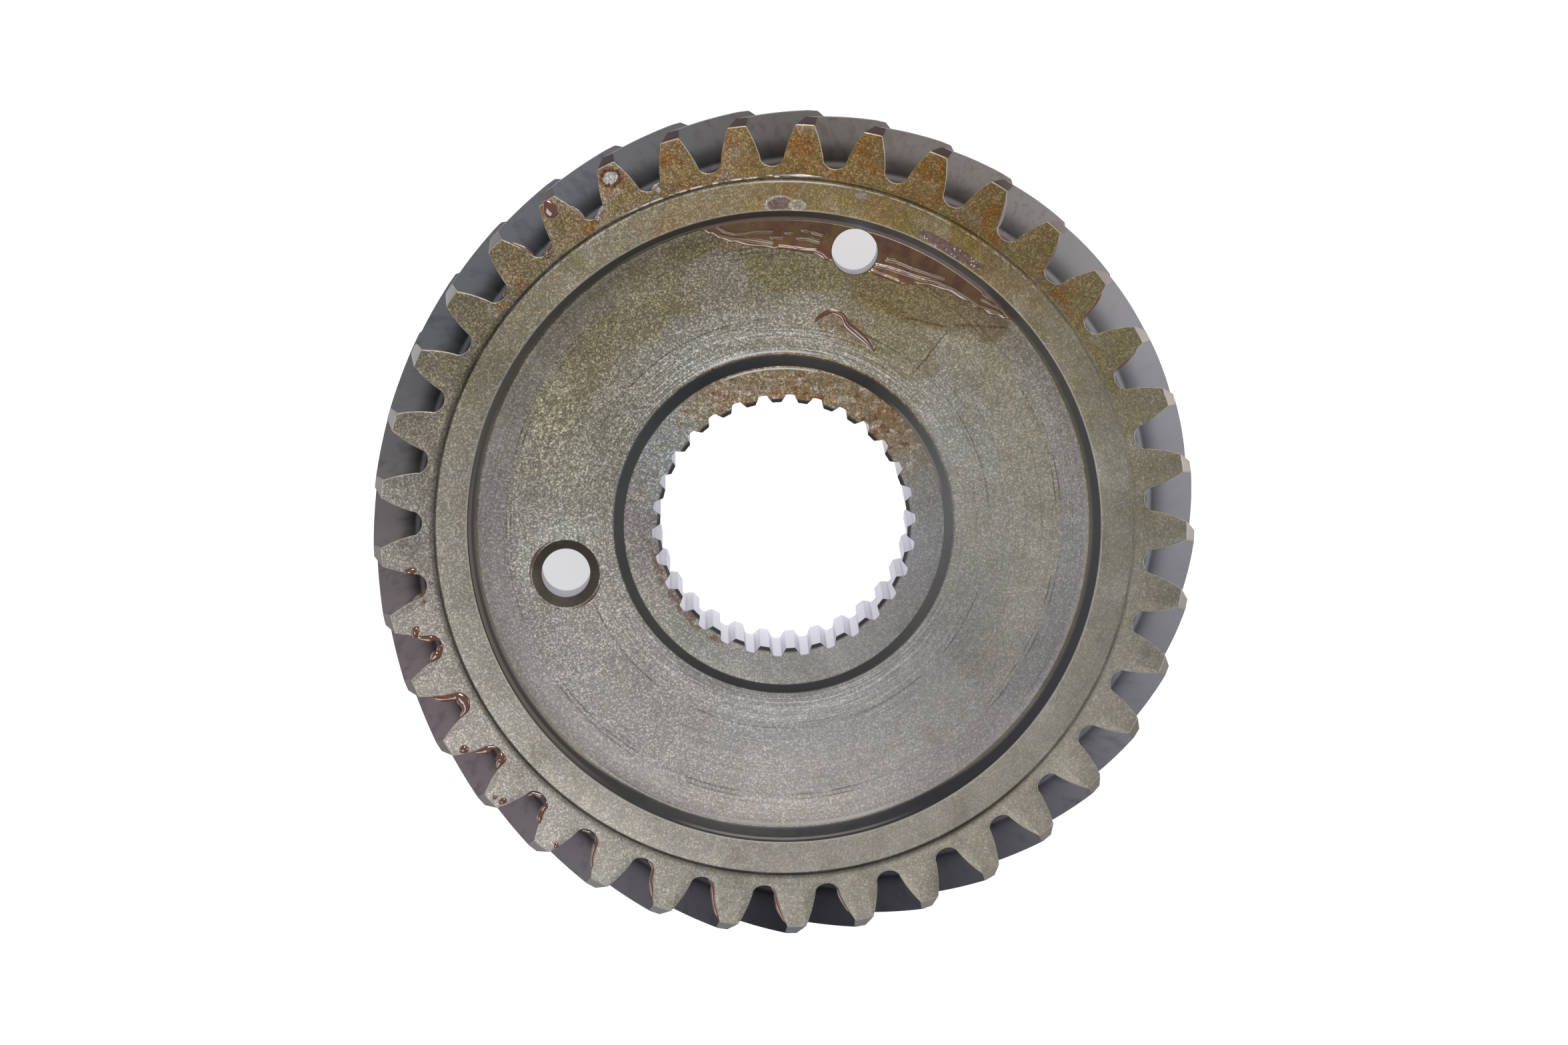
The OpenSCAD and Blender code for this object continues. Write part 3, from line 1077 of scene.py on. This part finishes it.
# Colours of the turning lines, of the painted shade on the step, of the gold painted sparkle and of the
# painted glints on the step.
TURNING_LINE = (70, 66, 56)
PAINTED_STEP_SHADE = (52, 48, 40)
GOLD_SPARKLE = (250, 206, 110)
STEP_GLINT = (246, 244, 240)

# Dried edges of old oil on the web: start and end in mm, and how strongly they show.
TIDE_LINES = [
    ((18.4, 31.4), (25.1, 29.8), 1.0),
    ((25.9, 30.2), (34.0, 29.9), 1.0),
    ((25.0, 29.4), (19.8, 23.0), 1.0),
    ((-9.5, 39.8), (1.0, 41.3), 0.5),
]


def blasted_bump(paint, strength):
    """Fine roughness left by blasting."""
    height = paint.plus(paint.noise(2.2, 4, 0.7), paint.times(paint.noise(6.0, 2, 0.6, offset=0.3), 0.6))
    return paint.bump(height, strength, BLAST_DEPTH)


def stained(paint, colour, strength, rust):
    """Cloudy stains: olive, gold and red-brown under the oil at the top, paler patches elsewhere."""
    cloud = paint.noise(0.12, 5, 0.65)
    faint = paint.noise(0.3, 4, 0.6, offset=0.71)
    blotch = paint.noise(0.26, 4, 0.6, offset=0.52)
    mottle = paint.noise(0.55, 4, 0.65, offset=0.2)
    oily = paint.sector(85, 55, 45, cloud, 60)
    top = paint.sector(92, 42, 22, cloud, 30)
    return paint.coats(
        colour,
        (paint.rise(cloud, 0.52, 0.68), 0.26 * strength, (96, 90, 66)),
        (paint.rise(cloud, 0.48, 0.32), 0.2 * strength, (232, 228, 220)),
        (paint.rise(faint, 0.52, 0.66), 0.14 * strength, (140, 144, 156)),
        (paint.times(top, paint.rise(blotch, 0.5, 0.64)), 0.55 * rust, (156, 96, 30)),
        (paint.times(oily, paint.rise(blotch, 0.46, 0.36)), 0.35 * strength, (128, 124, 66)),
        (paint.times(top, paint.rise(mottle, 0.54, 0.68)), 0.35 * rust, (122, 70, 34)),
        (paint.times(oily, paint.rise(mottle, 0.44, 0.32)), 0.4 * strength, (186, 168, 110)),
    )


def step_shade(paint):
    """1 on the small step between the land and the teeth, where shade is painted."""
    weak = paint.minus(1, paint.times(paint.sector(5, 35, 30), 0.85))
    outer = paint.minus(paint.radius, paint.times(paint.sector(225, 75, 20), 0.34))
    return paint.times(paint.rise(paint.radius, 52.64, 52.78), paint.rise(outer, 53.7, 52.85), weak)


def step_glints(paint):
    """1 on the thin bright lines that the light draws along the oily step at the top."""
    broken = paint.rise(paint.noise(1.0, 3, 0.6, offset=0.27), 0.44, 0.54)
    beads = paint.times(paint.arc(53.14, 53.32, 0.07, 103, 11, 4), broken)
    bright = paint.arc(52.42, 52.58, 0.06, 88, 5, 6)
    edge = paint.times(paint.arc(52.44, 52.56, 0.06, 88, 42, 10), broken, 0.6)
    return paint.most(beads, bright, edge)


def turned_face_with_painted_light(paint, colour, lines, groove, share, spark, amount, tint):
    """Turning lines, painted shade on the step, gold painted sparkle at the oily top, grains with
    painted sparkle, and painted glints on the step.
    """
    painted_sparkle = paint.times(paint.sparkle_specks(3.0, share), paint.sector(85, 50, 30))
    colour = paint.coats(
        colour,
        (paint.rise(lines, 0.5, 0.7), groove, TURNING_LINE),
        (step_shade(paint), 0.7, PAINTED_STEP_SHADE),
        (painted_sparkle, spark, GOLD_SPARKLE),
    )
    return paint.coats(paint.grain_and_sparkle(colour, amount, tint), (step_glints(paint), 0.85, STEP_GLINT))


def tooth_material():
    paint = Paint("oily_tooth_steel")
    level = TOOTH_TOP / MM
    rear_level = TOOTH_BOTTOM / MM
    face = paint.coats(
        stained(paint, paint.around(TOOTH_FACE, FACE_GAIN, 25), 1.0, 1.0),
        (paint.spot(-26.2, 53.0, 1.7, 1.5, 20), 0.8, (104, 62, 40)),
        (paint.spot(-26.2, 53.0, 1.1, 0.9, 20), 0.85, (236, 232, 228)),
    )
    face = turned_face_with_painted_light(paint, face, paint.turned_noise(7.0, 2.0), 0.18, 0.07, 0.55, 0.6, 0.4)
    # Painted highlight along the rounded front edge of the teeth.
    lip = paint.band(paint.z, level - 0.14, level - 0.02, 0.015)
    lip = paint.times(lip, paint.rise(paint.radius, 54.2, 54.6))
    face = paint.coats(face, (lip, 0.5, (226, 220, 204)))

    smear = paint.rise(paint.noise(0.35, 3, 0.5, offset=0.9), 0.5, 0.7)
    calm = paint.minus(1, paint.times(paint.sector(25, 40, 20), 0.8))
    run = paint.rise(paint.noise(0.9, 3, 0.6, stretch=(1, 1, 0.05)), 0.5, 0.64)
    # Painted shade at the roots of the gaps on the lower left.
    deep = paint.rise(paint.radius, 57.4, 54.6)
    # Painted light and shade on the flanks, changing round the gear, with dark smears and brown runs.
    flank = paint.coats(
        paint.around(FLANK_LIGHT_AND_SHADE, 1.0),
        (paint.times(smear, calm), 0.25, (30, 30, 32)),
        (paint.times(run, paint.sector(70, 17, 9)), 0.4, (108, 90, 80)),
        (paint.times(deep, paint.sector(203, 44, 20)), 0.6, (48, 48, 54)),
    )
    depth = paint.times(paint.minus(level, paint.z), TIP_CHAMFER / TIP_CHAMFER_LENGTH)
    cone = paint.minus(paint.radius, depth)
    corner = (TIP_RADIUS - TIP_CHAMFER) / MM
    tip = paint.rise(cone, corner - 0.22, corner - 0.08)
    tip = paint.times(tip, paint.rise(paint.z, level - 1.7, level - 1.5))
    # Painted reflection of the studio on the tip chamfers, laid over the flanks.
    side = paint.mix(tip, flank, paint.around(TIP_CHAMFER_REFLECTION, WALL_GAIN))

    front = paint.rise(paint.z, level - 0.16, level - 0.06)
    rear = paint.rise(paint.z, rear_level + 0.16, rear_level + 0.06)
    faces = paint.most(front, rear)
    return paint.finish(
        Base_Color=paint.mix(faces, side, face),
        Roughness=paint.plus(paint.times(faces, 0.12), 0.33),
        Metallic=METALLIC,
        Specular_IOR_Level=0.3,
        Specular_Tint=(0.3, 0.3, 0.3, 1),
        Normal=paint.bump(paint.times(paint.noise(2.4, 4, 0.7), faces), 0.5, BLAST_DEPTH),
    )


def land_material():
    paint = Paint("oily_land_steel")
    purple = paint.spot(25.0, 42.3, 5.8, 0.85, -31, 0.3, 0.3)
    colour = paint.coats(
        stained(paint, paint.around(LAND_FACE, FACE_GAIN, 25), 1.0, 0.35),
        (paint.spot(-1.0, 49.2, 2.1, 1.2, 10, 0.15, 0.3), 0.6, (226, 218, 214)),
        (paint.spot(-0.8, 49.1, 1.8, 1.0, 10, 0.15, 0.3), 0.8, (122, 88, 88)),
        (paint.spot(2.0, 48.9, 1.3, 0.95, 0, 0.15, 0.3), 0.65, (214, 208, 200)),
        (paint.spot(2.0, 48.9, 0.9, 0.6, 0, 0.15, 0.3), 0.5, (150, 140, 112)),
        (paint.spot(11.7, 50.3, 0.9, 0.6), 0.7, (176, 160, 168)),
        (purple, 0.7, (116, 90, 102)),
        # Painted sparkle in the purple patch.
        (paint.times(purple, paint.sparkle_specks(2.4, 0.3)), 0.9, (245, 240, 240)),
    )
    lines = paint.turned_noise(9.0, 3.0)
    colour = turned_face_with_painted_light(paint, colour, lines, 0.15, 0.06, 0.5, 0.48, 0.35)

    # Painted shade on the recess wall, reaching further down the wall on some sides.
    low = paint.plus(paint.radius, paint.times(paint.sector(270, 26, 20), 0.4))
    low = paint.plus(low, paint.times(paint.sector(85, 36, 20), 0.25))
    high = paint.minus(paint.radius, paint.times(paint.sector(258, 36, 16), 0.1))
    mouth_shade_line = paint.times(paint.band(high, 47.9, 48.05, 0.05), paint.sector(240, 60, 20))
    shade = paint.coats(
        paint.around(RECESS_WALL_SHADE, WALL_GAIN),
        # Painted shade band on the lower left, painted highlights near the top of the wall at the bottom
        # and on the left, a painted shade line at the mouth on the lower left, and a painted highlight
        # where the oil meets the foot of the wall at the top.
        (paint.arc(47.1, 47.35, 0.22, 225, 45, 30), 0.4, (50, 50, 52)),
        (paint.arc(47.62, 47.76, 0.08, 272, 13, 12), 0.4, (206, 202, 200)),
        (paint.arc(47.5, 47.8, 0.1, 200, 18, 22), 0.6, (176, 166, 148)),
        (mouth_shade_line, 0.8, (40, 40, 42)),
        (paint.arc(46.66, 46.9, 0.08, 84, 34, 8), 0.6, (226, 222, 222)),
    )
    wall = paint.times(paint.rise(high, 48.12, 47.98), paint.rise(low, 46.7, 47.15))
    # Painted highlight along the mouth edge of the recess.
    edge = paint.band(paint.radius, 48.05, 48.25, 0.08)
    edge = paint.times(edge, paint.rise(paint.z, LAND_TOP / MM - 0.2, LAND_TOP / MM - 0.1))
    colour = paint.coats(paint.mix(wall, colour, shade), (edge, 0.3, (235, 225, 215)))
    normal = paint.bump(lines, 0.12, LINE_DEPTH, blasted_bump(paint, 0.3))
    roughness = paint.plus(paint.times(paint.noise(0.6, 3, 0.6), 0.2), 0.36)
    return paint.finish(Base_Color=colour, Roughness=roughness, Metallic=METALLIC, Normal=normal)


def web_material():
    paint = Paint("blasted_web_steel")
    level = WEB_TOP / MM
    tables = (WEB_INNER, WEB_MIDDLE, WEB_OUTER)
    inner, middle, outer = [paint.around(table, FACE_GAIN, 20) for table in tables]
    wander = paint.times(paint.waver(0.1, 4, 0.6), 8)
    place = paint.plus(paint.radius, wander)
    colour = paint.mix(paint.rise(place, 33, 37), inner, middle)
    border = paint.plus(paint.radius, paint.times(wander, 0.2))
    colour = paint.mix(paint.rise(border, 41.7, 42.5), colour, outer)

    tides = [paint.times(paint.stroke(start, end, 0.22), weight) for start, end, weight in TIDE_LINES]
    worms = paint.rise(paint.noise(1.3, 3, 0.6, offset=0.33), 0.5, 0.6)
    lines = paint.turned_noise(5.0, 1.6)
    # Painted highlights along the turning marks near the hub, at the top and at the bottom.
    painted_turning_glints = paint.plus(paint.sector(95, 38, 30), paint.sector(268, 42, 30))
    painted_turning_glints = paint.times(paint.math("MINIMUM", painted_turning_glints, 1), paint.rise(paint.radius, 33, 27.5))
    colour = paint.coats(
        stained(paint, colour, 0.6, 0.1),
        (paint.spot(-10.5, 36.8, 5.4, 4.4, 25, 0.08, 0.22), 0.24, (176, 168, 172)),
        (paint.spot(2, 38.4, 7.6, 3.6, -8, 0.12, 0.3), 0.3, (146, 126, 74)),
        (paint.spot(21, 36.5, 14.5, 6.4, -25, 0.1, 0.25), 0.5, (132, 108, 62)),
        (paint.spot(9, 29.4, 4.2, 2.2, -20, 0.15, 0.3), 0.45, (140, 112, 66)),
        (paint.spot(15.5, 28.5, 9.5, 4.6, -36, 0.06, 0.16), 0.34, (148, 126, 76)),
        (paint.spot(27, 26.5, 4.5, 3.0, -30, 0.4), 0.3, (190, 182, 168)),
        (paint.most(*tides), 0.55, (106, 76, 40)),
        (paint.spot(-33, -4.5, 7.5, 7.5, 0, 0.6, 0.8), 0.2, (206, 204, 196)),
        (paint.spot(-34, -1.6, 4.0, 1.5, 8, 0.2, 0.3), 0.45, (212, 210, 200)),
        (paint.spot(-39.4, -6, 1.1, 3.4, 8, 0.2, 0.4), 0.45, (212, 210, 200)),
        (paint.times(paint.spot(-34, 12, 5, 9, 10, 0.9, 0.5), worms), 0.45, (226, 224, 196)),
        (paint.times(painted_turning_glints, paint.rise(lines, 0.5, 0.62)), 0.65, (246, 242, 238)),
        (paint.rise(lines, 0.5, 0.35), 0.2, (64, 60, 54)),
    )
    scribed = paint.rise(paint.noise(0.12, 3, 0.6, offset=0.45), 0.4, 0.6)
    for radius in (31.3, 41.5, 42.2):
        ring = paint.times(paint.band(paint.radius, radius - 0.06, radius + 0.06, 0.1), scribed)
        colour = paint.coats(colour, (ring, 0.5, (60, 56, 50)))

    calm = paint.times(paint.rise(paint.radius, 41.5, 43.5), paint.sector(185, 50, 30))
    holes = [
        paint.spot(hole.x / MM, hole.y / MM, reach, reach, 0, 0.02, 0)
        for hole, reach in ((UPPER_HOLE, 3.7), (SIDE_HOLE, 3.9))
    ]
    # Painted reflection of the glowing floor on the lower walls of the holes.
    deep = paint.times(paint.rise(paint.z, level - 1.4, level - 1.6), paint.most(*holes))
    colour = paint.coats(
        paint.grain_and_sparkle(colour, 0.68, 0.3, calm),
        # Painted highlights near the hub at the top and at the foot of the recess wall at the bottom,
        # and painted light close to the recess wall.
        (paint.arc(26.2, 26.4, 0.12, 98, 14, 10), 0.75, (250, 248, 246)),
        (paint.arc(45.9, 46.4, 0.15, 272, 12, 12), 0.75, (250, 244, 240)),
        (paint.rise(paint.radius, 45.4, 46.3), 0.1, (235, 230, 226)),
        (paint.rise(paint.z, level - 0.02, level - 0.12), 0.9, (112, 103, 90)),
        (deep, 0.9, (206, 206, 214)),
    )
    normal = paint.bump(lines, 0.2, LINE_DEPTH, blasted_bump(paint, 0.5))
    roughness = paint.plus(paint.times(wander, 0.01), 0.44)
    return paint.finish(Base_Color=colour, Roughness=roughness, Metallic=METALLIC, Normal=normal)


def hub_material():
    paint = Paint("oily_hub_steel")
    top = HUB_TOP / MM
    bottom = HUB_BOTTOM / MM
    mottle = paint.noise(0.7, 4, 0.7, offset=0.2)
    oil = paint.sector(80, 42, 16, mottle, 50)
    streaky = paint.rise(paint.noise(0.9, 3, 0.6, offset=0.17), 0.56, 0.64)
    purple = paint.times(paint.sector(175, 14, 10, mottle, 30), paint.rise(mottle, 0.42, 0.6))
    beads = paint.times(paint.sector(216, 22, 8), paint.rise(paint.radius, 21.0, 20.3))
    beads = paint.times(beads, paint.rise(paint.noise(0.8, 4, 0.6, offset=0.66), 0.46, 0.54))
    face = paint.coats(
        stained(paint, paint.around(HUB_FACE, FACE_GAIN, 15), 0.8, 0.7),
        (oil, 0.4, (158, 120, 62)),
        (paint.times(oil, paint.rise(mottle, 0.53, 0.62)), 0.65, (222, 212, 206)),
        (paint.times(oil, streaky), 0.6, (116, 62, 44)),
        (purple, 0.35, (120, 92, 92)),
        (beads, 0.65, (128, 92, 66)),
    )
    low = paint.rise(paint.z, top - 0.06, top - 0.25)
    low = paint.times(low, paint.rise(paint.z, bottom + 0.1, bottom + 0.3))
    foot = paint.plus(paint.radius, paint.times(paint.sector(0, 30, 25), 0.2))
    wall = paint.times(low, paint.rise(paint.radius, 22, 23), paint.rise(foot, 26.2, 25.55))
    # Painted highlight on the hub wall at the upper right, over the painted shade of the wall.
    wall_glint = paint.arc(24.35, 24.65, 0.12, 30, 12, 9)
    shade = paint.coats(paint.around(HUB_WALL_SHADE, WALL_GAIN), (wall_glint, 0.65, (206, 192, 192)))
    # Painted reflection of the glowing floor on the walls of the bore.
    inside = paint.times(low, paint.rise(paint.radius, 21, 20.2))
    chamfer = paint.times(paint.band(paint.z, top - 0.66, top - 0.05, 0.04), inside)
    colour = paint.coats(
        paint.mix(wall, paint.grain_and_sparkle(face, 0.6, 0.35), shade),
        (inside, 0.8, (206, 205, 214)),
        # Painted highlight along the edge of the hub face at the top.
        (paint.arc(23.86, 24.04, 0.06, 95, 13, 8), 0.9, (250, 244, 238)),
        (chamfer, 0.9, (66, 60, 54)),
    )
    normal = blasted_bump(paint, 0.35)
    return paint.finish(Base_Color=colour, Roughness=0.45, Metallic=METALLIC, Normal=normal)


def oil_material(name, dark, light):
    """Old oil: dark and glossy, lighter where it is thin, with painted sparkle and painted highlights on
    the ripple crests, on the lip up the recess wall and on the thread at the top of the step.
    """
    paint = Paint(name)
    puddle = WEB_TOP / MM
    drops = TOOTH_TOP / MM
    cloud = paint.noise(0.45, 4, 0.6)
    thin = paint.times(paint.rise(paint.x, 2.0, -5.0), paint.rise(cloud, 0.6, 0.4))
    # Painted highlights on the ripple crests, on the lip where the oil climbs the recess wall, and along
    # the thread of oil at the top of the step.
    crest_highlight = paint.band(paint.z, puddle + 0.23, puddle + 0.5, 0.04)
    lip = paint.times(paint.rise(paint.radius, 46.38, 46.5), paint.sector(84, 34, 8))
    glint = paint.times(paint.sector(88, 5, 1), paint.rise(paint.radius, 54.0, 53.8))
    colour = paint.coats(
        paint.mix(paint.rise(cloud, 0.36, 0.64), srgb(*dark), srgb(*light)),
        (thin, 0.7, light),
        (paint.sparkle_specks(3.0, 0.16), 0.3, (206, 172, 110)),
        (paint.times(crest_highlight, paint.rise(paint.radius, 46.0, 45.8)), 0.55, (226, 210, 200)),
        (lip, 0.6, (200, 196, 196)),
        (paint.times(paint.rise(paint.z, drops + 0.12, drops + 0.17), glint), 0.9, (250, 248, 246)),
    )
    return paint.finish(Base_Color=colour, Roughness=0.1, Metallic=0.0, Specular_IOR_Level=1.0, IOR=1.8)


# ---------------- stage

# Glow of the floor at growing distances from the gear axis, in metres: strongest under the bore as
# painted light, weakest under the web as painted shade.
FLOOR_GLOW = [(0.017, 1.0), (0.021, 0.8), (0.027, 0.62), (0.049, 0.62), (0.052, 0.8)]
FLOOR_HALF_WIDTH = 3.0
FLOOR_GAP = 0.02 * MM

# Name, place, target, width, height and power of each light, in metres and watts.
LIGHTS = [
    ("overhead", (-0.55, -0.75, 1.9), (0, 0, 0), 1.0, 1.0, 7.5),
    ("upper_glint", (0.16, 0.95, 1.0), (0, 0, 0), 0.5, 0.42, 7),
    ("left_panel", (-1.2, 0.0, 0.35), (0, 0, 0.02), 0.6, 0.6, 1.6),
    ("right_panel", (1.2, 0.1, 0.35), (0, 0, 0.02), 0.6, 0.6, 2.6),
]

CAMERA_DISTANCE = 1.576
VIEW_WIDTH = 0.2376
SENSOR_WIDTH = 36
AIM = (0.0, 0.69 * MM, TOOTH_TOP)
TILT = math.radians(5.5)
TILT_SIDE = math.radians(96)


def make_floor():
    """A pale floor that glows a little, so that it stays bright seen through the bore and the holes; its
    glow is stronger under the bore as painted light and weaker under the web as painted shade.
    """
    paint = Paint("pale_floor")
    stops = [(distance, (glow, glow, glow)) for distance, glow in FLOOR_GLOW]
    material = paint.finish(
        Base_Color=(0.85, 0.85, 0.88, 1),
        Roughness=0.9,
        Emission_Color=(0.93, 0.93, 0.97, 1),
        Emission_Strength=paint.ramp(paint.times(paint.radius, MM), stops),
    )
    size = FLOOR_HALF_WIDTH
    corners = ((-size, -size), (size, -size), (size, size), (-size, size))
    new_object("floor", [(x, y, -FLOOR_GAP) for x, y in corners], [(0, 1, 2, 3)], [material])


def make_lights():
    """Soft lights round the wheel and a weak pale glow from everywhere."""
    world = bpy.data.worlds.new("studio")
    bpy.context.scene.world = world
    world.use_nodes = True
    background = world.node_tree.nodes["Background"]
    background.inputs["Color"].default_value = (0.93, 0.96, 1.0, 1)
    background.inputs["Strength"].default_value = 0.2
    for name, place, target, width, height, power in LIGHTS:
        data = bpy.data.lights.new(name, "AREA")
        data.shape = "RECTANGLE"
        data.size = width
        data.size_y = height
        data.energy = power
        lamp = bpy.data.objects.new(name, data)
        bpy.context.scene.collection.objects.link(lamp)
        lamp.location = place
        lamp.rotation_euler = (Vector(target) - Vector(place)).to_track_quat("-Z", "Y").to_euler()


def make_camera():
    """A long lens above the wheel, leaning a little towards its upper edge."""
    data = bpy.data.cameras.new("camera")
    camera = bpy.data.objects.new("camera", data)
    bpy.context.scene.collection.objects.link(camera)
    bpy.context.scene.camera = camera
    data.sensor_width = SENSOR_WIDTH
    data.lens = SENSOR_WIDTH * CAMERA_DISTANCE / VIEW_WIDTH
    data.clip_end = 10
    lean_x, lean_y = polar(math.sin(TILT), TILT_SIDE)
    back = Vector((lean_x, lean_y, math.cos(TILT)))
    up = (Vector((0, 1, 0)) - back * back.y).normalized()
    rotation = Matrix((up.cross(back), up, back)).transposed()
    camera.rotation_mode = "QUATERNION"
    camera.rotation_quaternion = rotation.to_quaternion()
    camera.location = Vector(AIM) + back * CAMERA_DISTANCE


# ---------------- build

bpy.context.scene.view_settings.view_transform = "Standard"
make_camera()
make_lights()
make_floor()
make_toothed_ring([tooth_material()])
make_rim([land_material()])
make_web([web_material()])
make_hub([hub_material()])
make_puddle(oil_material("amber_oil", (128, 64, 32), (152, 108, 40)))
make_oil(oil_material("red_brown_oil", (108, 54, 44), (124, 74, 50)))
